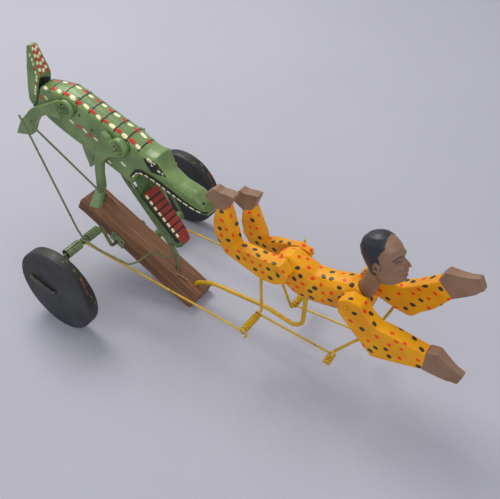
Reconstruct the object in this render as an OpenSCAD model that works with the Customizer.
// Pull-along toy: a two-wheeled plank whose wire crank makes a carved alligator stride,
// snap and chase a carved swimmer. All sizes in millimetres.
// X runs forward from the gator to the swimmer, Z is up and the floor is z = 0.
// The origin is the middle of the small worn flat under the plank's front end.

/* [Wheels] */
// Wheel radius
wheel_r = 40; // [39:0.5:41]
// Wheel thickness
wheel_t = 11.5; // [10.5:0.5:12]
// Inner face of each wheel from the middle of the toy
wheel_in = 82.2; // [82:0.1:84]

/* [Crank and rods] */
// Radius of the crank wire
crank_r = 1.6; // [1.5:0.05:1.6]
// Throw of the crank
throw = 20.5; // [19:0.5:20.5]
// Angle of the right crank pin behind the top
crank_lean = 30; // [25:1:33]
// Radius of the drive rods and link rods
rod_r = 0.9; // [0.75:0.05:0.9]
// Radius of the hinge wires through the limbs
hinge_r = 0.9; // [0.8:0.05:0.95]

/* [Plank] */
// Plank width
plank_w = 29; // [27:0.5:30]
// Plank thickness
plank_t = 12.7; // [12:0.1:12.9]
// Slope of the plank, nose down
slope = 26; // [25.5:0.5:26.5]

/* [Wood] */
// Thickness of the gator's legs
gator_leg_t = 8; // [7:0.5:8]
// Thickness of the swimmer's arms and legs
swimmer_limb_t = 11.6; // [10:0.2:11.6]

/* [Display] */
// Which node to draw

/* [Hidden] */
$fn = 48;

// The drawing frame has the axle over x = 0 at z = 40.
ax_z = 40;
run_gap = 0.06;
hair = 0.004;
groove_r = crank_r + 0.08;
under = crank_r + 0.15;
skid = 5;
skid_u = (wheel_r - under * cos(slope)) / sin(slope);
skid_x = skid_u * cos(slope) - under * sin(slope);
axle_x = -(skid_x + skid / 2);
front_u = (skid_x + skid) * cos(slope) + wheel_r * sin(slope);
rear_u = -50;
top_w = plank_t - under;
pin_r = [-throw * sin(crank_lean), ax_z + throw * cos(crank_lean)];
pin_l = [throw * sin(crank_lean), ax_z - throw * cos(crank_lean)];
eye_tube = rod_r + 0.05;
arm_in = 21.4;
arm_out = 67.8;
staple_reach = 26.8;
staple_dir = [-cos(14), sin(14)];
face_y = wheel_in + wheel_t;
gator_at = [-54, 152];
gator_tilt = 24.5;
hip = [-37, 168];
shoulder = [20, 152];
jaw_pin = [25, 121];
tail_pin = [-80.5, 157];
jaw_ring = [60.5, 60];
leg_in = 11.4;
leg_out = leg_in + gator_leg_t;
limb_in = 12;
limb_out = limb_in + swimmer_limb_t;
s_hip = [179, 104];
s_shoulder = [239, 102];
leg_pin_r = [163.5, 49];
leg_pin_l = [171.5, 25];
arm_pin_r = [233, 45];
arm_pin_l = [244, 31];
leg_wire_r = 1.2;
// Tops of the wires that hang from the limbs, measured from their pins.
leg_top_r = leg_pin_r + [-1.7, 48.6];
leg_top_l = leg_pin_l + [-25.26, 59.22];
arm_top_r = arm_pin_r + [24.2, 35.09];
arm_bend_l = arm_pin_l + [8.7, 25.4];
arm_top_l = arm_pin_l + [21.1, 61.41];
drive_end_r = [-84, 143];
drive_end_l = [-50.8, 116.6];

echo(axle_x = axle_x, front_u = front_u, pin_r = pin_r, pin_l = pin_l);

wood_brown = [0.42, 0.28, 0.18];
wheel_black = [0.17, 0.17, 0.18];
tin_green = [0.22, 0.48, 0.26];
gator_green = [0.42, 0.60, 0.34];
wire_green = [0.25, 0.45, 0.30];
wire_yellow = [0.85, 0.67, 0.12];
wire_grey = [0.55, 0.53, 0.50];
wire_brown = [0.36, 0.24, 0.17];
suit_yellow = [0.95, 0.65, 0.08];
skin_brown = [0.45, 0.33, 0.27];
jaw_red = [0.60, 0.15, 0.13];

// Moves the drawing frame to the part's own frame.
module place() {
    translate([axle_x, 0, wheel_r - ax_z]) children();
}

// A point of the x-z plane turned about the origin, x towards z.
function turned(p, a) = [
    p[0] * cos(a) - p[1] * sin(a),
    p[0] * sin(a) + p[1] * cos(a)
];
function at(p, y) = [p[0], y, p[1]];
function shifted(pts, c) = [for (p = pts) [p[0] + c[0], p[1] + c[1]]];
function spun(pts, a) = [for (p = pts) turned(p, a)];
// A point of the gator's own frame (along, up) in the drawing frame.
function gat(s, h) = gator_at + turned([s, h], -gator_tilt);

// A straight round bar between two points.
module bar(a, b, r) {
    d = b - a;
    len_d = norm(d);
    translate(a)
        rotate([0, acos(d[2] / len_d), atan2(d[1], d[0])])
            cylinder(h = len_d, r = r);
}

// A bent wire through a list of points, every other stretch a hair thinner.
module wire(pts, r, ball = 1.03) {
    for (i = [0:len(pts) - 2]) bar(pts[i], pts[i + 1], r - hair * (i % 2));
    if (len(pts) > 2)
        for (i = [1:len(pts) - 2]) translate(pts[i]) sphere(r = r * ball);
}

// A closed wire eye around an axis along Y.
module eye(c, y, mean, tube) {
    translate(at(c, y))
        rotate([90, 0, 0])
            rotate_extrude()
                translate([mean, 0]) circle(r = tube);
}

// A round bar or bore along Y.
module cross_bar(c, y1, y2, r) {
    translate(at(c, y2)) rotate([90, 0, 0]) cylinder(h = y2 - y1, r = r);
}

// An outline of the x-z plane given thickness along Y.
module slab(pts, y1, y2) {
    translate([0, y2, 0]) rotate([90, 0, 0]) linear_extrude(y2 - y1) polygon(pts);
}

// A skin through rings of points, rings turning right-handed about the way they go.
module skin(rings) {
    n = len(rings[0]);
    m = len(rings);
    sides = [for (i = [0:m - 2]) for (j = [0:n - 1]) each [
        [i * n + j, (i + 1) * n + j, (i + 1) * n + (j + 1) % n],
        [i * n + j, (i + 1) * n + (j + 1) % n, i * n + (j + 1) % n]
    ]];
    first = [for (j = [0:n - 1]) j];
    last = [for (j = [0:n - 1]) (m - 1) * n + n - 1 - j];
    polyhedron(
        points = [for (s = rings) for (p = s) p],
        faces = concat(sides, [first, last]),
        convexity = 8
    );
}

// Points of a wound wire about an axis along Y, ends straight for one wire diameter.
function coil_rings(c, y1, turns, pitch, mean, tube, start, side) =
    let (
        steps = ceil(turns * 14),
        rise = pitch / 360 * side,
        up = pitch / (2 * PI) * side,
        k = 1 / norm([mean, up])
    )
    [for (i = [-1:steps + 1])
        let (
            j = max(0, min(steps, i)),
            a = j * turns * 360 / steps + start,
            n = [cos(a), 0, sin(a)],
            t = [-mean * sin(a) * k, up * k, mean * cos(a) * k],
            b = cross(t, n),
            extra = i < 0 ? -2 * tube : (i > steps ? 2 * tube : 0),
            o = [c[0] + mean * cos(a), y1 + rise * (a - start), c[1] + mean * sin(a)]
                + t * extra
        )
        [for (q = [0:5]) o + n * tube * cos(q * 60 + 30) + b * tube * sin(q * 60 + 30)]];

// Least distance between ring points at least half a turn apart, less nothing.
function coil_gap(rings) = min([
    for (i = [0:len(rings) - 1])
        if (i + 9 < len(rings))
            min([for (k = [i + 9:min(len(rings) - 1, i + 20)])
                min([for (p = rings[i]) min([for (q = rings[k]) norm(p - q)])])])
]);

module coil(c, y1, turns, pitch, mean, tube, start, side, label) {
    rings = coil_rings(c, y1, turns, pitch, mean, tube, start, side);
    echo(coil = label, least_gap = coil_gap(rings));
    skin(rings);
}

// Wooden base

module plank_frame() {
    translate([0, 0, ax_z]) rotate([0, slope, 0]) children();
}

module plank() {
    color(wood_brown) place() difference() {
        plank_frame()
            translate([rear_u, -plank_w / 2, -under])
                cube([front_u - rear_u, plank_w, plank_t]);
        // the worn skid
        translate([40, -30, ax_z - wheel_r - 20]) cube([60, 60, 20]);
        // worn near corner at the rear
        plank_frame()
            translate([rear_u, -plank_w / 2, -10])
                rotate([0, 0, 40]) translate([-12, -8, 0]) cube([12, 20, 30]);
        // groove for the axle
        plank_frame() {
            translate([-groove_r, -30, -under - 1]) cube([2 * groove_r, 60, under + 1]);
            translate([0, 30, 0]) rotate([90, 0, 0]) cylinder(h = 60, r = groove_r);
        }
        // holes for the wires and staples
        bar([-29, 3, 57.5], [-28.3, 3, 70], 1.9);
        bar([58, 2.3, 15], [58, 2.3, 40], 1.9);
        bar([75, 2.5, 8.5], [80.2, 2.5, 19.2], 2);
        bar([-33.9, 9, 60], [-33.9, 9, 75], 0.85);
        bar([-17.1, 9, 52], [-17.1, 9, 70], 0.85);
        bar([60.5, -4, 14], [60.5, -4, 30], 0.85);
        bar([71.5, -1, 10], [71.5, -1, 25], 0.85);
        for (s = [-1, 1]) for (u = [-5.2, 5.2])
            plank_frame()
                translate([u, s * (plank_w / 2 + 1), 5.4])
                    rotate([s * 90, 0, 0]) cylinder(h = 6, r = 0.65);
    }
}

module strap(s) {
    t = 0.8;
    a = plank_w / 2 + 0.05;
    color(tin_green) place() plank_frame() difference() {
        union() {
            translate([-8, s > 0 ? 4 : -a - t, -under - 0.05 - t])
                cube([16, a + t - 4, t]);
            translate([-8, s > 0 ? a : -a - t, -under - 0.05 - t])
                cube([16, t, 10 + under]);
        }
        translate([0, s * (a + 2), 0])
            rotate([s * 90, 0, 0]) cylinder(h = 5, r = groove_r + 0.3);
        for (u = [-5.2, 5.2])
            translate([u, s * (a + 2), 5.4]) rotate([s * 90, 0, 0]) cylinder(h = 5, r = 0.65);
    }
}

module strap_nails() {
    a = plank_w / 2 + 0.9;
    color(wire_grey) place() plank_frame()
        for (s = [-1, 1]) for (u = [-5.2, 5.2])
            translate([u, s * (a + 0.8), 5.4]) rotate([s * 90, 0, 0]) {
                cylinder(h = 0.8, r = 1.7);
                cylinder(h = 6, r = 0.6);
            }
}

module rear_staple() {
    color(wire_brown) place()
        wire([[-33.9, 9, 62], [-33.9, 9, 69.6], [-17.1, 9, 61.4], [-17.1, 9, 54]], 0.8);
}

module front_staple() {
    color(wire_brown) place()
        wire([[60.5, -4, 16], [60.5, -4, 23.8], [71.5, -1, 18.4], [71.5, -1, 12]], 0.8);
}

// Axle, wheels and sleeves

module crank_axle() {
    o = [0, ax_z];
    y_out = face_y + crank_r + 0.2;
    sr = o + staple_reach * staple_dir;
    sl = o - staple_reach * staple_dir;
    color(wire_grey) place() wire([
        at(sr, -(face_y - 8)), at(sr, -y_out), at(o, -y_out),
        at(o, -arm_out), at(pin_r, -arm_out), at(pin_r, -arm_in), at(o, -arm_in),
        at(o, arm_in), at(pin_l, arm_in), at(pin_l, arm_out), at(o, arm_out),
        at(o, y_out), at(sl, y_out), at(sl, face_y - 8)
    ], crank_r);
}

module wheel(s) {
    e = 0.9;
    hole = [0, ax_z] + (s < 0 ? 1 : -1) * staple_reach * staple_dir;
    y1 = s < 0 ? -face_y : wheel_in;
    color(wheel_black) place() difference() {
        translate([0, y1 + wheel_t, ax_z]) rotate([90, 0, 0]) rotate_extrude()
            polygon([
                [0, 0], [wheel_r - e, 0], [wheel_r - 0.35 * e, 0.4 * e], [wheel_r, 1.3 * e],
                [wheel_r, wheel_t - 1.3 * e], [wheel_r - 0.35 * e, wheel_t - 0.4 * e],
                [wheel_r - e, wheel_t], [0, wheel_t]
            ]);
        cross_bar([0, ax_z], y1 - 1, y1 + wheel_t + 1, crank_r + 0.05);
        cross_bar(hole, s < 0 ? y1 - 1 : y1 + wheel_t - 9,
            s < 0 ? y1 + 9 : y1 + wheel_t + 1, crank_r + 0.05);
    }
}

// A rolled tin sleeve: hollow towards the wheel, crimped on the pin at its inner end.
module sleeve(c, y_in, y_end) {
    a = min(y_in, y_end);
    b = max(y_in, y_end);
    d = y_end > y_in ? 1 : -1;
    color(tin_green) place() difference() {
        cross_bar(c, a, b, 4.7);
        cross_bar(c, a - 1, b + 1, crank_r + 0.05);
        cross_bar(c, d > 0 ? y_in + 1.6 : y_end - 1, d > 0 ? y_end + 1 : y_in - 1.6, 3.9);
    }
}

// Drive rods riding on the crank pins

module gator_drive(c, end, y_eye, y_end) {
    mean = crank_r + run_gap + eye_tube;
    d = (end - c) / norm(end - c);
    color(wire_green) place() {
        eye(c, y_eye, mean, eye_tube);
        wire([at(c + mean * d, y_eye), at(c + 10 * d, y_eye), at(end, y_end),
            at(end + [-4, 7], y_end)], rod_r);
    }
}

module gator_drive_coil(c, y1, side, label) {
    color(wire_green) place()
        coil(c, y1, 6.5, 2.42, 3.5, 0.95, side > 0 ? 20 : 160, side, label);
}

module swimmer_drive(c, end, y, tail) {
    mean = crank_r + run_gap + eye_tube;
    small = leg_wire_r + 0.1 + eye_tube;
    d = (end - c) / norm(end - c);
    color(wire_yellow) place() {
        eye(c, y, mean, eye_tube);
        wire([at(c + mean * d, y), at(end - small * d, y)], rod_r);
        eye(end, y, small, eye_tube);
        wire([at(end + small * d, y), at(end + [small + 1.6, -2.6], y),
            at(end + [small - 0.4, -tail], y)], rod_r);
    }
}

// Gator

// Stations along the gator: place, half width, bottom, side edge, crown.
gator_st = [
    [-24, 9, -8, 15, 18], [-12, 10.5, -9.5, 22, 26], [0, 11, -9.5, 29, 33],
    [15, 11, -8.5, 31.5, 36], [42, 11, -5, 34.5, 39.5], [68, 11, -2, 38, 42.5],
    [84, 11, -1, 38, 42], [87.6, 11, -0.8, 38, 42], [88.6, 11, 14.5, 38.6, 42.2],
    [93, 10.8, 16.5, 40, 43.2], [99, 10.4, 18, 43.4, 46.4], [105, 9.8, 18.2, 39, 42],
    [112, 9.2, 18.6, 33, 37], [125, 8.8, 20, 32.5, 36], [141, 9, 23, 36, 40],
    [152, 8, 25.5, 34, 38], [158.5, 5.5, 28, 31, 34]
];
gator_rings = [for (g = gator_st)
    let (w = g[1], b = g[2], e = g[3], c = g[4])
    [for (p = [
        [-(w - 1.6), b], [w - 1.6, b], [w, b + 1.6], [w, e], [0.72 * w, e + 0.62 * (c - e)],
        [0.3 * w, c], [-0.3 * w, c], [-0.72 * w, e + 0.62 * (c - e)], [-w, e], [-w, b + 1.6]
    ]) [g[0], p[0], p[1]]]];

module gator_frame() {
    translate(at(gator_at, 0)) rotate([0, gator_tilt, 0]) children();
}

module gator_body() {
    color(gator_green) place() difference() {
        union() {
            gator_frame() skin(gator_rings);
            // tongue that carries the tail
            intersection() {
                union() {
                    cross_bar(tail_pin, -3, 3, 3.9);
                    slab([tail_pin + [-1.5, -3.4], gat(-20, -8), gat(-20, 4),
                        tail_pin + [-1, 3.7]], -3, 3);
                }
                translate([-100, -5, 140]) cube([50, 10, 50]);
            }
        }
        // slot for the jaw's ear
        gator_frame() translate([76, -4.05, -5]) cube([16, 8.1, 19]);
        cross_bar(hip, -20, 20, hinge_r + 0.05);
        cross_bar(shoulder, -20, 20, hinge_r + 0.05);
        cross_bar(jaw_pin, -20, 20, hinge_r + 0.05);
        cross_bar(tail_pin, -20, 20, hinge_r + 0.05);
        // holes for the belly staples
        gator_frame() for (s = [46, 57]) for (y = [-2.8, 2.8])
            translate([s, y, -12]) cylinder(h = 16, r = 0.75);
    }
}

module belly_staple() {
    color(wire_grey) place() gator_frame() for (s = [46, 57]) {
        b = -5 + (s - 42) * 3 / 26;
        low = b - 4.6;
        wire([[s, -2.8, b + 6], [s, -2.8, low], [s, 2.8, low], [s, 2.8, b + 6]], 0.7);
    }
}

module gator_support_wire() {
    a = gat(41, -5 - 1 * 3 / 26 - 1.95);
    b = gat(60, -5 + 18 * 3 / 26 - 1.95);
    color(wire_green) place() wire([
        [-28.9, 3, 59.5], [-28.4, 3, 68], at(a, 0), at(b, 0),
        [8, 0, 106], [59, 1, 44], [58, 2.3, 30], [58, 2.3, 16]
    ], 1.8);
}

module gator_wire(c, y_end, drop) {
    y = y_end - hinge_r;
    color(wire_grey) place() wire([
        at(c + drop, -y), at(c, -y), at(c, y), at(c + drop, y)
    ], hinge_r);
}

// The jaw's hinge wire ends flush, because the front legs sweep past it.
module jaw_hinge_wire() {
    color(wire_grey) place() cross_bar(jaw_pin, -11.1, 11.1, hinge_r);
}

hind_pts = [
    [-7, 7], [-39, -10], [-57, -28], [-67.5, -45.5], [-46, -39.5], [-39, -26.5],
    [-32.5, -17], [-20, -10], [-3, -8.2]
];
front_pts = [
    [-9, 5], [-23, -7], [-34, -23], [-40.3, -57.3], [-51.8, -80.2], [-28, -71.6],
    [-23, -57.5], [-20.8, -49], [-16.4, -28], [-12, -14], [0, -9]
];

module gator_leg(c, pts, disc, ankle, lean, side) {
    y1 = side > 0 ? leg_in : -leg_out;
    y2 = side > 0 ? leg_out : -leg_in;
    color(gator_green) place() difference() {
        union() {
            slab(shifted(spun(pts, lean), c), y1, y2);
            cross_bar(c, y1, y2, disc);
        }
        cross_bar(c, y1 - 1, y2 + 1, hinge_r + 0.1);
        cross_bar(c + turned(ankle, lean), y1 - 1, y2 + 1, hinge_r + 0.1);
    }
}

hind_ankle = [-43, -24];
front_ankle = [-26, -50];

// Link rod of the gator's legs: its rear end turns in through the hind ankle hole.
module gator_link(lean_hind, lean_front, side) {
    a = hip + turned(hind_ankle, lean_hind);
    b = shoulder + turned(front_ankle, lean_front);
    y = side * (leg_out + 1.4);
    color(wire_grey) place()
        wire([at(a, side * (leg_in + 0.6)), at(a, y), at(b, y), at(b + [2.5, 4], y)], rod_r);
}

module gator_tail() {
    side_pts = [[-81.4, 153.2], [-79.3, 157], [-71, 184], [-77.6, 208.6], [-80, 209.6], [-82.8, 208],
        [-88.4, 158], [-86, 154.6], [-83, 153]];
    color(gator_green) place() difference() {
        intersection() {
            slab(side_pts, -12, 12);
            translate([-120, 0, 0]) rotate([90, 0, 90]) linear_extrude(100) polygon([
                [-9, 150], [9, 150], [8.6, 170], [6.6, 190], [4, 208], [2, 211],
                [-2, 211], [-4, 208], [-6.6, 190], [-8.6, 170]
            ]);
        }
        translate([-100, -3.3, 140]) cube([60, 6.6, 24.4]);
        cross_bar(tail_pin, -20, 20, hinge_r + 0.1);
    }
}

module gator_jaw() {
    d = [0.679, -0.734];
    n = [0.734, 0.679];
    side_pts = [[36, 108], [71, 70.2], [73, 66.6], [71.4, 62.6], [66.4, 60.4], [22.9, 106.8],
        [25.5, 109.3], [30.9, 103.3]];
    color(jaw_red) place() difference() {
        union() {
            intersection() {
                slab(side_pts, -12, 12);
                translate([0, 0, 30]) linear_extrude(100)
                    polygon([[20, -9], [40, -9], [66, -7.4], [72.6, -5], [74, -2],
                        [74, 2], [72.6, 5], [66, 7.4], [40, 9], [20, 9]]);
            }
            slab([jaw_pin + [-4.6, -2], jaw_pin + [4.8, -1.4], [32.6, 104], [26, 104.6]],
                -3.8, 3.8);
            cross_bar(jaw_pin, -3.8, 3.8, 5);
        }
        cross_bar(jaw_pin, -20, 20, hinge_r + 0.1);
        // carved ridges across the top
        for (i = [0:6]) {
            c = [36, 108] + d * (7 + i * 6);
            slab([c + n * 1, c - n * 0.9 - d * 0.2, c - n * 0.9 + d * 0.2, c + n * 1 + d * 2.2],
                -15, 15);
        }
        bar(at(jaw_ring + [0.6, 4], -4.5), at(jaw_ring + [1.7, 12], -4.5), 0.7);
    }
}

module jaw_eye() {
    color(wire_grey) place() {
        eye(jaw_ring, -4.5, 1.7, 0.7);
        bar(at(jaw_ring + [0.24, 1.7], -4.5), at(jaw_ring + [1.6, 11.4], -4.5), 0.65);
    }
}

module jaw_rod() {
    color(wire_green) place() wire([
        at(jaw_ring, -2.4), at(jaw_ring, -7), [60, -7, 43.5], [47, -20, 54.5],
        [50, -41, 60.8], [46, -47.6, 61.2], [12, -47.6, 61.4], [0, -47.6, 63.6],
        [-9, -47.6, 62]
    ], 0.88);
}

// Swimmer

module swimmer_post() {
    color(wire_yellow) place() wire([
        [75.7, 2.5, 10], [79.3, 2.5, 17.4], [97, 2, 27], [156, 1, 32], [185, 0, 28],
        [193, 0, 35], [194.6, 0, 82]
    ], 1.9, 1.06);
}

// Stations of the torso: x, half width, bottom, top.
torso_st = [
    [165.5, 6, 89, 99], [168, 8.6, 85.5, 103], [173, 10.6, 81.2, 108], [181, 11.5, 75.8, 112],
    [190, 11.5, 71.8, 108], [203, 11, 72.6, 104], [214, 11, 74.8, 105.4],
    [231, 11.5, 78.8, 111], [241, 11.5, 81.6, 110.4], [247.5, 10.2, 84.6, 106],
    [251, 7, 91, 100]
];

module swimmer_torso() {
    rings = [for (g = torso_st)
        let (w = g[1], zc = (g[2] + g[3]) / 2, h = (g[3] - g[2]) / 2)
        [for (q = [0:15])
            let (
                a = q * 22.5 + 11.25,
                cx = cos(a),
                sx = sin(a),
                k = 1 / pow(pow(abs(cx), 2.8) + pow(abs(sx), 2.8), 1 / 2.8)
            )
            [g[0], w * cx * k, zc + h * sx * k]]];
    color(suit_yellow) place() difference() {
        skin(rings);
        cross_bar(s_hip, -20, 20, hinge_r + 0.05);
        cross_bar(s_shoulder, -20, 20, hinge_r + 0.05);
        bar([193, 0, 35], [194.63, 0, 83], 2);
        neck_bar(7.1, -1, 30);
    }
}

neck_foot = [243.5, 104];
neck_lean = 14;
module neck_bar(r, a, b) {
    translate(at(neck_foot, 0)) rotate([0, neck_lean, 0]) translate([0, 0, a])
        cylinder(h = b - a, r = r);
}

// Stations up the head, in its own tilted frame: height, front, back, half width.
head_st = [
    [-21, 4, 3, 3.5], [-19, 9.5, 5.5, 6.6], [-15, 14, 8, 8.6], [-8, 15.4, 12.4, 10.2],
    [-2, 15.6, 15, 10.9], [5, 16, 16.4, 11.2], [11, 15, 16, 11], [16, 11.6, 13.4, 9.4],
    [19.4, 7.4, 9, 6.6], [21, 3, 4, 3]
];
head_at = [253, 142];
head_tilt = -18;

module swimmer_head() {
    rings = [for (g = head_st) [for (q = [0:15])
        let (
            a = q * 22.5,
            f = cos(a) > 0 ? g[1] : g[2]
        )
        [f * cos(a), g[3] * sin(a), g[0]]]];
    color(skin_brown) place() {
        union() {
            translate(at(head_at, 0)) rotate([0, head_tilt, 0]) {
                skin(rings);
                // nose
                slab([[13, 3], [20.4, -4.4], [19.6, -6.2], [13, -6.6]], -2, 2);
                // ears
                for (s = [-1, 1]) translate([-1.5, s * 10.8, -2])
                    rotate([90, 0, 0]) cylinder(h = 3, r = 3.2, center = true);
            }
            neck_bar(7, 0, 24);
        }
    }
}

thigh = [[-14, -13.5], [-1, -12], [8, -7], [10, 1], [3, 9], [-14, 8]];
shin = [
    [-39.5, 16], [-46.5, 40.5], [-39, 58], [-57, 62], [-67, 49], [-55.5, 38],
    [-58, 26], [-57.5, 14], [-48, -3]
];
knee = [-44, 4];

function moved(pts, joint, a, b) = [for (p = pts) turned(joint, a) + turned(p - joint, b)];

// Outline of a leg whose thigh is turned by a and whose shin is turned by b.
function leg_outline(a, b) = concat(
    [turned([-48, -3], a)], spun(thigh, a),
    [(turned([-38, 8], a) + moved([[-38, 8]], knee, a, b)[0]) / 2],
    moved(shin, knee, a, b)
);

// The bore for a limb's wire, a little deeper than the wire goes in.
module bore_along(low, top, y) {
    d = (top - low) / norm(top - low);
    bar(at(low, y), at(top + 0.9 * d, y), leg_wire_r + 0.05);
}

module swimmer_leg(a, b, side) {
    y1 = side > 0 ? limb_in : -limb_out;
    y2 = side > 0 ? limb_out : -limb_in;
    color(suit_yellow) place() difference() {
        slab(shifted(leg_outline(a, b), s_hip), y1, y2);
        cross_bar(s_hip, y1 - 1, y2 + 1, hinge_r + 0.1);
        if (side < 0) bore_along(leg_pin_r, leg_top_r, -18);
        if (side > 0) bore_along(leg_pin_l, leg_top_l, 18);
    }
}

module swimmer_leg_wire(side) {
    color(wire_yellow) place() {
        if (side < 0) wire([at(leg_top_r, -18), at(leg_pin_r, -18), at(leg_pin_r, -43.6)],
            leg_wire_r);
        if (side > 0) wire([at(leg_top_l, 18), at(leg_pin_l, 18), at(leg_pin_l, 49.4)],
            leg_wire_r);
    }
}

module swimmer_leg_coil(c, y1, turns, side, label) {
    color(wire_yellow) place()
        coil(c, y1, turns, 2.05, 2.5, 0.8, side > 0 ? 40 : 200, side, label);
}

upper_arm = [[-6, -7], [-7, 4], [1, 10], [11, 8], [19, -1], [27, -6]];
forearm = [[63, -8.5], [64, -7], [72, -2], [92, -14], [89.5, -29], [82, -30], [63, -25],
    [25, -37]];
elbow = [30, -20];

function arm_outline(a, b) = concat(
    spun([upper_arm[0]], a), spun([for (i = [1:5]) upper_arm[i]], a),
    [(turned([39, -6], a) + moved([[39, -6]], elbow, a, b)[0]) / 2],
    moved(forearm, elbow, a, b),
    a == b ? [] : [turned([25, -37], a)]
);

module swimmer_arm(a, b, side) {
    y1 = side > 0 ? limb_in : -limb_out;
    y2 = side > 0 ? limb_out : -limb_in;
    color(suit_yellow) place() difference() {
        slab(shifted(arm_outline(a, b), s_shoulder), y1, y2);
        cross_bar(s_shoulder, y1 - 1, y2 + 1, hinge_r + 0.1);
        if (side < 0) bore_along(arm_pin_r, arm_top_r, -18);
        if (side > 0) bore_along(arm_bend_l, arm_top_l, 18);
    }
}

module swimmer_arm_wire(side) {
    color(wire_yellow) place() {
        if (side < 0) wire([at(arm_top_r, -18), at(arm_pin_r, -18), at(arm_pin_r, -20.9)],
            leg_wire_r);
        if (side > 0) wire([at(arm_top_l, 18), at(arm_bend_l, 18), at(arm_pin_l, 18),
            at(arm_pin_l, 20.9)], leg_wire_r);
    }
}

module swimmer_link(a, b, side) {
    y = side * 22.5;
    mean = leg_wire_r + run_gap + eye_tube;
    d = (b - a) / norm(b - a);
    color(wire_yellow) place() {
        eye(a, y, mean, eye_tube);
        wire([at(a + mean * d, y), at(b - mean * d, y)], rod_r);
        eye(b, y, mean, eye_tube);
    }
}

module swimmer_link_coil(c, side, label) {
    color(wire_yellow) place()
        coil(c, side * 24.5, 4, 2.1, 2.5, 0.8, side > 0 ? 40 : 200, side, label);
}

plank();
strap(-1);  // axle_strap_right
strap(1);  // axle_strap_left
strap_nails();
rear_staple();
front_staple();
crank_axle();
wheel(-1);  // wheel_right
wheel(1);  // wheel_left
sleeve(pin_r, -49, -66);  // crank_sleeve_right
sleeve(pin_l, 52.5, 66);  // crank_sleeve_left
gator_drive(pin_r, drive_end_r, -42.7, -23.4);  // gator_drive_right
gator_drive(pin_l, drive_end_l, 42.7, 23.4);  // gator_drive_left
gator_drive_coil(pin_r, -24.6, -1, "gr");  // gator_drive_coil_right
gator_drive_coil(pin_l, 24.6, 1, "gl");  // gator_drive_coil_left
swimmer_drive(pin_r, leg_pin_r, -45.2, 6.4);  // swimmer_drive_right
swimmer_drive(pin_l, leg_pin_l, 51, 8);  // swimmer_drive_left
gator_support_wire();
belly_staple();
gator_body();
gator_wire(hip, leg_out + 2.1, [1, 3.2]);  // gator_hip_wire
gator_wire(shoulder, leg_out + 2.1, [1.5, 3]);  // gator_shoulder_wire
jaw_hinge_wire();
gator_wire(tail_pin, 11.2, [-1, -2.8]);  // tail_hinge_wire
gator_leg(hip, hind_pts, 8.5, hind_ankle, 0, -1);  // gator_hind_leg_right
gator_leg(hip, hind_pts, 8.5, hind_ankle, 47, 1);  // gator_hind_leg_left
gator_leg(shoulder, front_pts, 9, front_ankle, 0, -1);  // gator_front_leg_right
gator_leg(shoulder, front_pts, 9, front_ankle, 42.3, 1);  // gator_front_leg_left
gator_link(0, 0, -1);  // gator_link_right
gator_link(47, 42.3, 1);  // gator_link_left
gator_tail();
gator_jaw();
jaw_eye();
jaw_rod();
swimmer_post();
swimmer_torso();
swimmer_head();
gator_wire(s_hip, limb_out + 2.1, [-1, 3]);  // swimmer_hip_wire
gator_wire(s_shoulder, limb_out + 2.1, [1, 3]);  // swimmer_shoulder_wire
swimmer_leg(0, 0, -1);  // swimmer_leg_right
swimmer_leg(31, 7, 1);  // swimmer_leg_left
swimmer_leg_wire(-1);  // swimmer_leg_wire_right
swimmer_leg_wire(1);  // swimmer_leg_wire_left
swimmer_leg_coil(leg_pin_r, -24.7, 8.9, -1, "sr");  // swimmer_leg_coil_right
swimmer_leg_coil(leg_pin_l, 24.7, 11.5, 1, "sl");  // swimmer_leg_coil_left
swimmer_arm(0, 0, -1);  // swimmer_arm_right
swimmer_arm(28, 44, 1);  // swimmer_arm_left
swimmer_arm_wire(-1);  // swimmer_arm_wire_right
swimmer_arm_wire(1);  // swimmer_arm_wire_left
swimmer_link(leg_pin_r, arm_pin_r, -1);  // swimmer_link_right
swimmer_link(leg_pin_l, arm_pin_l, 1);  // swimmer_link_left
swimmer_link_coil(arm_pin_r, -1, "lr");  // swimmer_link_coil_right
swimmer_link_coil(arm_pin_l, 1, "ll");  // swimmer_link_coil_left
